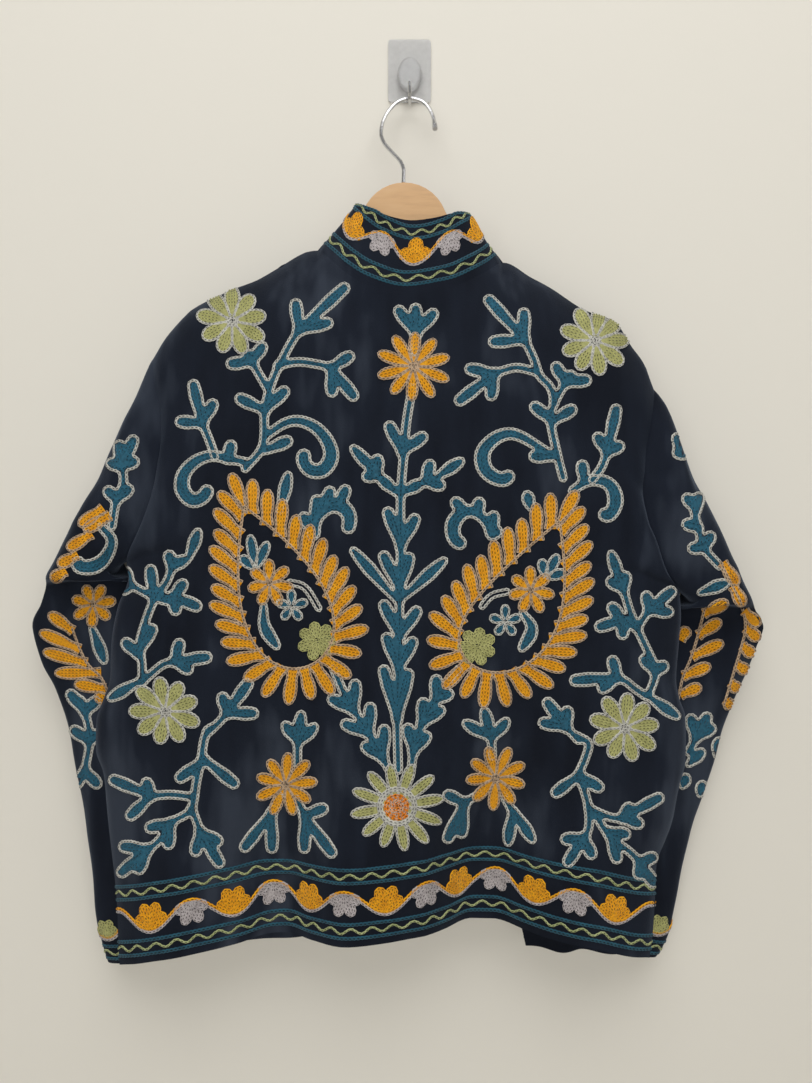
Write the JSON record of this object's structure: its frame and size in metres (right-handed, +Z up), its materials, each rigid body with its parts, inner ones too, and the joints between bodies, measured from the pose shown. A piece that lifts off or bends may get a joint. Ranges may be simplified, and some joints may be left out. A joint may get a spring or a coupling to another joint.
{
  "type": "embroidered velvet jacket on a wooden hanger with a wall hook",
  "caption": "Short embroidered velvet jacket with a stand collar, open fronts and long sleeves, hanging back outwards on a wooden hanger from an adhesive wall hook.",
  "frame": {"origin": "centre of the wall hook plate's back face, where the wall holds the part", "axes": "+Z up, +Y into the wall, so the jacket hangs toward -Y with its back facing -Y; +X to the right as seen from the room"},
  "size_m": [0.6705, 0.097, 0.8768],
  "materials": {
    "velvet": "matt black-navy cotton velvet with chain-stitch embroidery in teal, cream, yellow-orange, pale green and grey",
    "beech": "clear-varnished",
    "steel": "polished wire",
    "clear_plastic": "translucent, slightly frosted"
  },
  "bodies": {
    "root": {"back": "velvet", "front_left": "velvet", "front_right": "velvet", "collar": "velvet", "sleeve_left": "velvet", "sleeve_right": "velvet", "hanger_board": "beech", "hanger_hook": "steel", "wall_plate": "clear_plastic", "wall_pad": "clear_plastic", "wall_peg": "steel"}
  },
  "joints": []
}
